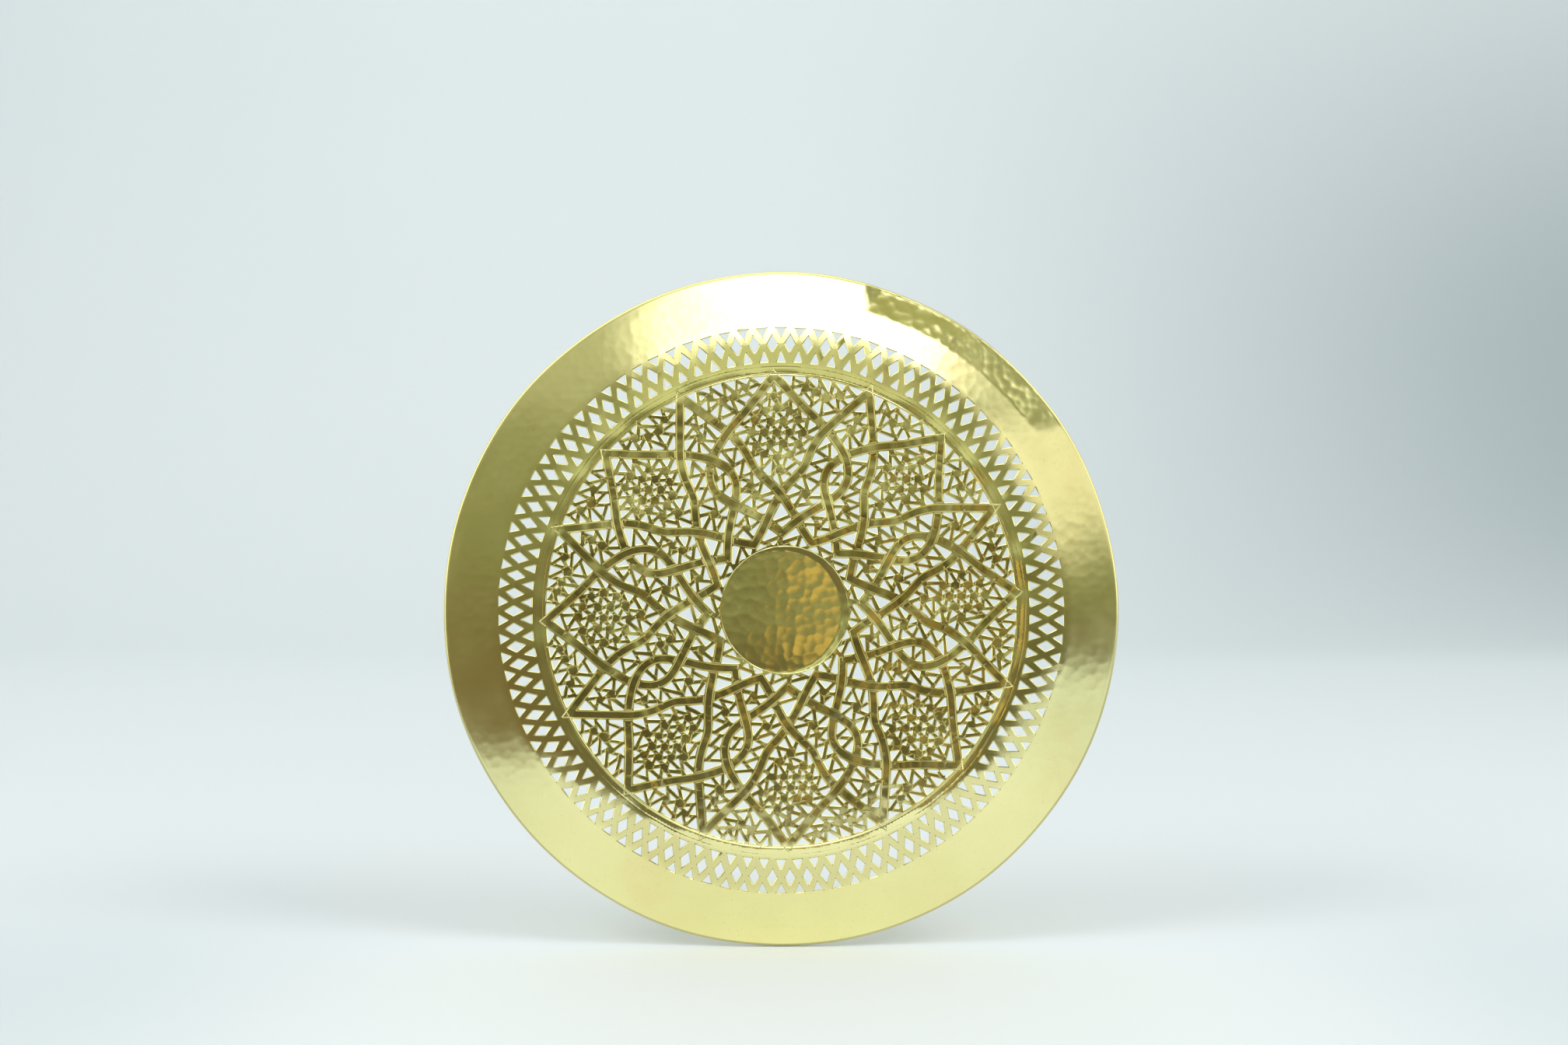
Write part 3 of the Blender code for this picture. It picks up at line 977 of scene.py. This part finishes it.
def make_sheet(material):
    """The pierced, chased and hammered sheet with its rolled edge."""
    paths = strap_paths()
    straps = strap_outlines(paths)
    bars = [made for cell in openings_between(straps, SMALLEST_OPENING) for made in cell_bars(cell)]
    loops = openings_between(straps + bars, SMALLEST_OPENING) + lattice_openings()
    grooves = strap_grooves(paths) + bar_grooves(bars, loops)
    pits = pit_middles(loops)
    vertices, triangles, covers = fret_drawing(loops, grooves, pits).triangulated()
    solid = [t for t, cover in zip(triangles, covers) if cover == {0}]
    used = sorted({v for t in solid for v in t})
    number = {v: k for k, v in enumerate(used)}
    count = len(used)
    plane = np.array([vertices[v] for v in used])
    front_depth, grime_and_shade = face_relief(plane, loops, grooves, pits)
    points = [in_world(plane, front_depth), in_world(plane, rear_depth(plane))]
    grime_and_shade_rows = [grime_and_shade, rear_grime(plane)]
    faces = []
    sides = set()
    for t in solid:
        a, b, c = (number[v] for v in t)
        faces.append((a, b, c))
        faces.append((c + count, b + count, a + count))
        sides |= {(a, b), (b, c), (c, a)}
    seam = {}
    for a, b in sides:
        if (b, a) in sides:
            continue
        if min(hypot(*plane[a]), hypot(*plane[b])) > SEAM_RADIUS - 0.05:
            seam[a] = b
        else:
            faces.append((b, a, a + count, b + count))
    ring = [next(iter(seam))]
    while seam[ring[-1]] != ring[0]:
        ring.append(seam[ring[-1]])
    heading = np.array([plane[v] / hypot(*plane[v]) for v in ring])
    before = ring
    total = 2 * count
    for radius, fixed_depth, side in rim_rows():
        row = heading * radius
        row_grime_and_shade = np.zeros(len(ring))
        if side == "face":
            relief = sheet_depth(row)
        elif side == "curl":
            relief = fixed_depth + sheet_depth(heading * BEAD_RADIUS) - drop(BEAD_RADIUS)
            # Painted shade on the rolled edge.
            row_grime_and_shade += CURL_PAINTED_SHADE
        else:
            relief = rear_depth(row)
            row_grime_and_shade = rear_grime(row)
        points.append(in_world(row, relief))
        grime_and_shade_rows.append(row_grime_and_shade)
        after = list(range(total, total + len(ring)))
        total += len(ring)
        faces += band(before, after)
        before = after
    faces += band(before, [v + count for v in ring])
    return make_object("brass_sheet", np.concatenate(points), faces,
                       {"grime_and_shade": np.concatenate(grime_and_shade_rows)}, material, SHARP_ANGLE)


def make_wire(material):
    """The round wire inside the rolled edge."""
    segments = 360
    sides = 12
    heading = np.array(circle(1.0, segments))
    edge_depth = sheet_depth(heading * BEAD_RADIUS) - drop(BEAD_RADIUS)
    points = []
    for side in range(sides):
        angle = 2 * pi * side / sides
        row = heading * (BEAD_RADIUS + WIRE_RADIUS * cos(angle))
        points.append(in_world(row, BEAD_DEPTH + WIRE_RADIUS * sin(angle) + edge_depth))
    rows = [list(range(side * segments, (side + 1) * segments)) for side in range(sides)]
    faces = [face for before, after in pairs(rows) for face in band(before, after)]
    return make_object("edge_wire", np.concatenate(points), faces, {}, material, 60)


# ---- materials

class Nodes:
    """Short ways to add and join shader nodes."""

    def __init__(self, tree):
        self.tree = tree

    def add(self, kind, inputs=None, **settings):
        node = self.tree.nodes.new(kind)
        for key, value in settings.items():
            setattr(node, key, value)
        self.feed(node, inputs or {})
        return node

    def feed(self, node, inputs):
        """Links a node's inputs to sockets or sets them to values."""
        for key, value in inputs.items():
            if isinstance(value, bpy.types.NodeSocket):
                self.tree.links.new(value, node.inputs[key])
            else:
                node.inputs[key].default_value = value

    def axes(self, vector):
        """The vector's three coordinates."""
        split = self.add("ShaderNodeSeparateXYZ", {"Vector": vector})
        return [split.outputs[axis] for axis in "XYZ"]

    def noise(self, vector, scale, detail=3.0, roughness=0.5, distortion=0.0):
        settings = {"Vector": vector, "Scale": scale, "Detail": detail,
                    "Roughness": roughness, "Distortion": distortion}
        return self.add("ShaderNodeTexNoise", settings).outputs["Fac"]

    def bump(self, height, strength, distance):
        return self.add("ShaderNodeBump", {"Strength": strength, "Distance": distance,
                                           "Height": height}).outputs["Normal"]

    def stepped(self, value, low, high, to_low=0.0, to_high=1.0):
        return self.add("ShaderNodeMapRange", {"Value": value, "From Min": low, "From Max": high,
                                               "To Min": to_low, "To Max": to_high},
                        interpolation_type="SMOOTHSTEP").outputs["Result"]

    def zone(self, *edges):
        """Product of smooth steps, each given as (value, outside, inside)."""
        share = self.stepped(*edges[0])
        for edge in edges[1:]:
            share = self.math("MULTIPLY", share, self.stepped(*edge))
        return share

    def math(self, operation, a, b=0.0):
        return self.add("ShaderNodeMath", {0: a, 1: b}, operation=operation).outputs[0]

    def mix(self, share, a, b):
        a, b = ((*colour, 1.0) if isinstance(colour, tuple) else colour for colour in (a, b))
        return self.add("ShaderNodeMix", {0: share, 6: a, 7: b}, data_type="RGBA").outputs[2]


def new_material(name):
    material = bpy.data.materials.new(name)
    material.use_nodes = True
    nodes = Nodes(material.node_tree)
    return material, nodes, material.node_tree.nodes["Principled BSDF"]


def brass_material():
    """Hand-polished brass: bright, with warm and dull patches, fine scratches, grime in the cuts, and
    painted shade on the fretwork's flats and the rolled edge.
    """
    material, nodes, shader = new_material("hand_polished_brass")
    place = nodes.add("ShaderNodeTexCoord").outputs["Object"]
    # The grime attribute holds dirt and painted shade together.
    grime_and_shade = nodes.add("ShaderNodeAttribute", attribute_name="grime_and_shade").outputs["Fac"]
    patches = nodes.stepped(nodes.noise(place, 9.0, 4.0, 0.55), 0.35, 0.7)
    warm = nodes.stepped(nodes.noise(place, 16.0, 5.0, 0.6, 0.4), 0.52, 0.72)
    specks = nodes.stepped(nodes.noise(place, 700.0, 2.0), 0.62, 0.75)
    colour = nodes.mix(patches, (0.97, 0.91, 0.46), (0.91, 0.85, 0.41))
    colour = nodes.mix(nodes.math("MULTIPLY", warm, 0.25), colour, (0.90, 0.66, 0.28))
    colour = nodes.mix(nodes.math("MULTIPLY", specks, 0.3), colour, (0.55, 0.45, 0.2))
    # Dark brown for dirt in the cuts and for painted shade on the fretwork's flats and the rolled edge.
    colour = nodes.mix(grime_and_shade, colour, (0.26, 0.20, 0.045))
    rough = nodes.stepped(nodes.noise(place, 30.0, 4.0, 0.6), 0.3, 0.75, 0.07, 0.13)
    rough = nodes.math("ADD", rough, nodes.math("MULTIPLY", grime_and_shade, 0.10))
    x, _, z = nodes.axes(place)
    squares = [nodes.math("MULTIPLY", value, value) for value in (x, z)]
    on_rim = nodes.stepped(nodes.math("SQRT", nodes.math("ADD", *squares)), 0.208, 0.216)
    rough = nodes.math("ADD", rough, nodes.math("MULTIPLY", on_rim, 0.07))
    dents = nodes.noise(place, 420.0, 3.0, 0.6)
    drawn_out = nodes.add("ShaderNodeMapping", {"Vector": place, "Scale": (1.0, 1.0, 9.0)})
    scratches = nodes.noise(drawn_out.outputs["Vector"], 260.0, 3.0, 0.7)
    height = nodes.math("ADD", nodes.math("MULTIPLY", dents, 0.6), nodes.math("MULTIPLY", scratches, 0.4))
    nodes.feed(shader, {"Base Color": colour, "Metallic": 1.0, "Roughness": rough,
                        "Normal": nodes.bump(height, 0.03, 0.0004)})
    return material


def wire_material():
    """Drawn steel wire, dull, with a little rust."""
    material, nodes, shader = new_material("drawn_steel_wire")
    place = nodes.add("ShaderNodeTexCoord").outputs["Object"]
    rust = nodes.stepped(nodes.noise(place, 60.0, 5.0, 0.6), 0.5, 0.7)
    nodes.feed(shader, {"Base Color": nodes.mix(rust, (0.42, 0.41, 0.40), (0.24, 0.14, 0.08)),
                        "Metallic": 1.0, "Roughness": nodes.stepped(rust, 0.0, 1.0, 0.38, 0.7),
                        "Normal": nodes.bump(nodes.noise(place, 900.0, 2.0), 0.2, 0.0002)})
    return material


def paper_material():
    """Matt studio paper, with a painted shadow far to the right and painted shade in the near corners."""
    material, nodes, shader = new_material("studio_paper")
    place = nodes.add("ShaderNodeTexCoord").outputs["Object"]
    x, y, z = nodes.axes(place)
    cloud = nodes.noise(place, 0.8, 2.0)
    colour = nodes.mix(cloud, (0.80, 0.83, 0.83), (0.83, 0.855, 0.85))
    # Painted shadow: the paper far to the right is darkened.
    painted_shadow_right = nodes.zone((x, 0.0, 2.7), (y, 2.6, 4.4), (z, 2.0, 0.4))
    colour = nodes.mix(painted_shadow_right, colour, (0.46, 0.515, 0.52))
    # Painted shade: the paper is darkened in the near corners, like vignetting.
    off_middle = nodes.math("ABSOLUTE", nodes.math("SUBTRACT", x, 0.035))
    painted_shade_corners = nodes.zone((off_middle, 0.22, 0.56), (y, 0.5, -0.2))
    colour = nodes.mix(painted_shade_corners, colour, (0.68, 0.725, 0.735))
    nodes.feed(shader, {"Base Color": colour, "Roughness": 0.6, "Specular IOR Level": 0.2})
    return material


# ---- stage, light and camera, metres

TABLE_HEIGHT = -TRAY_RADIUS / 1000
# Front edge of the table as the tray mirrors it, as (x, y).
TABLE_EDGE = [(-7.0, -0.38), (-0.46, -0.38), (0.0, -0.56), (1.05, -1.22), (7.0, -1.22)]
SWEEP_START = 3.2
SWEEP_RADIUS = 1.6
WALL_TOP = 4.5
ROOM_BACK = -7.0

CAMERA_SIDE = 0.0022
CAMERA_HEIGHT = 0.081
AIM_HEIGHT = 0.065
PICTURE_WIDTH = 1.1526      # at the tray's distance


def strip_mesh(name, columns, material):
    """Paper through side views, each a distance x and its points as (y, height above the table)."""
    points = [(x, y, TABLE_HEIGHT + z) for x, profile in columns for y, z in profile]
    rows = len(columns[0][1])
    faces = []
    for column in range(len(columns) - 1):
        for k in range(rows - 1):
            a = column * rows + k
            faces.append((a, a + rows, a + rows + 1, a + 1))
    return make_object(name, points, faces, {}, material, 60)


def make_stage():
    """Paper that sweeps up behind the tray; the part in front of the table's edge has no mirror image."""
    paper = paper_material()
    behind = [(SWEEP_START, 0.0)]
    for k in range(1, 25):
        angle = radians(90.0 * k / 24)
        behind.append((SWEEP_START + SWEEP_RADIUS * sin(angle), SWEEP_RADIUS * (1 - cos(angle))))
    behind.append((SWEEP_START + SWEEP_RADIUS, WALL_TOP))
    sweep = strip_mesh("paper_sweep", [(x, [(y, 0.0)] + behind) for x, y in TABLE_EDGE], paper)
    front = strip_mesh("floor_front", [(x, [(ROOM_BACK, 0.0), (y, 0.0)]) for x, y in TABLE_EDGE], paper)
    front.visible_glossy = False


def make_world():
    """Pale soft light all round; in mirrored directions, the room behind the camera and its softboxes."""
    world = bpy.data.worlds.new("studio")
    bpy.context.scene.world = world
    world.use_nodes = True
    nodes = Nodes(world.node_tree)
    side, depth, height = nodes.axes(nodes.add("ShaderNodeTexCoord").outputs["Generated"])
    # The dim lower half of the room, and its walls above.
    dim = nodes.mix(nodes.stepped(side, -0.30, -0.10), (0.19, 0.155, 0.08), (0.15, 0.14, 0.075))
    room = nodes.mix(nodes.stepped(height, -0.12, 0.04), dim, (0.26, 0.27, 0.145))
    slant = nodes.math("SUBTRACT", side, nodes.math("MULTIPLY", nodes.math("ADD", height, 0.05), 1.3))
    across = nodes.math("ABSOLUTE", nodes.math("ADD", side, 0.02))
    for colour, *edges in (
            # Something warm, low on the right, with a slanting upper edge.
            ((0.66, 0.48, 0.17), (slant, 0.012, 0.045), (side, 0.14, 0.075), (side, 0.0, 0.02),
             (height, -0.14, -0.09)),
            # The pale wall over the camera.
            ((0.66, 0.70, 0.48), (across, 0.28, 0.06), (height, 0.01, 0.09)),
            # Upper left, right, and the window high in the middle.
            ((0.48, 0.49, 0.36), (height, 0.14, 0.40), (side, -0.15, -0.35)),
            ((1.0, 1.0, 0.90), (height, 0.03, 0.14), (height, 0.38, 0.29), (side, 0.26, 0.40)),
            ((2.7, 2.75, 2.8), (height, 0.30, 0.42), (height, 0.64, 0.57), (side, -0.33, -0.05),
             (side, 0.38, 0.28)),
            # The bright paper and softboxes all round outside the room.
            ((1.75, 1.82, 1.6), (depth, -0.72, -0.62)),
            # One dark corner at the upper right.
            ((0.36, 0.37, 0.17), (height, 0.54, 0.60), (height, 0.85, 0.78), (side, 0.06, 0.14),
             (side, 0.62, 0.55))):
        room = nodes.mix(nodes.zone(*edges), room, colour)
    glossy = nodes.add("ShaderNodeLightPath").outputs["Is Glossy Ray"]
    shade = nodes.mix(glossy, (0.63, 0.68, 0.70), room)
    nodes.feed(world.node_tree.nodes["Background"], {"Color": shade, "Strength": 1.0})


def make_light(name, place, target, size, power, colour):
    light = bpy.data.lights.new(name, "AREA")
    light.shape = "RECTANGLE"
    light.size, light.size_y = size
    light.energy = power
    light.color = colour
    made = bpy.data.objects.new(name, light)
    made.location = place
    made.rotation_euler = (Vector(target) - Vector(place)).to_track_quat("-Z", "Y").to_euler()
    made.visible_glossy = False
    bpy.context.scene.collection.objects.link(made)


def make_camera():
    """Camera straight in front, a little above the middle of the tray, and aimed slightly down."""
    data = bpy.data.cameras.new("camera")
    data.lens = 50.0
    data.sensor_width = 36.0
    camera = bpy.data.objects.new("camera", data)
    camera.location = (CAMERA_SIDE, -PICTURE_WIDTH * data.lens / data.sensor_width, CAMERA_HEIGHT)
    aim = Vector((CAMERA_SIDE, 0.0, AIM_HEIGHT))
    camera.rotation_euler = (aim - camera.location).to_track_quat("-Z", "Y").to_euler()
    bpy.context.scene.collection.objects.link(camera)
    bpy.context.scene.camera = camera


sheet = make_sheet(brass_material())
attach(sheet, "root")
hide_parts("tray_sheet")
wire = make_wire(wire_material())
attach(wire, "root")
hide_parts("rim_wire")

make_stage()
make_world()
make_light("softbox_left", (-2.2, -1.8, 2.15), (0.0, 0.0, 0.0), (1.6, 1.6), 42.0, (1.0, 1.0, 1.0))
make_light("softbox_right", (2.2, -1.6, 2.15), (0.0, 0.0, 0.0), (1.6, 1.6), 42.0, (1.0, 1.0, 1.0))
make_light("backdrop_light", (-0.7, 1.4, 2.9), (-0.1, 4.8, 1.7), (2.4, 1.0), 24.0, (0.94, 1.0, 1.0))
make_camera()
bpy.context.scene.view_settings.view_transform = "Standard"
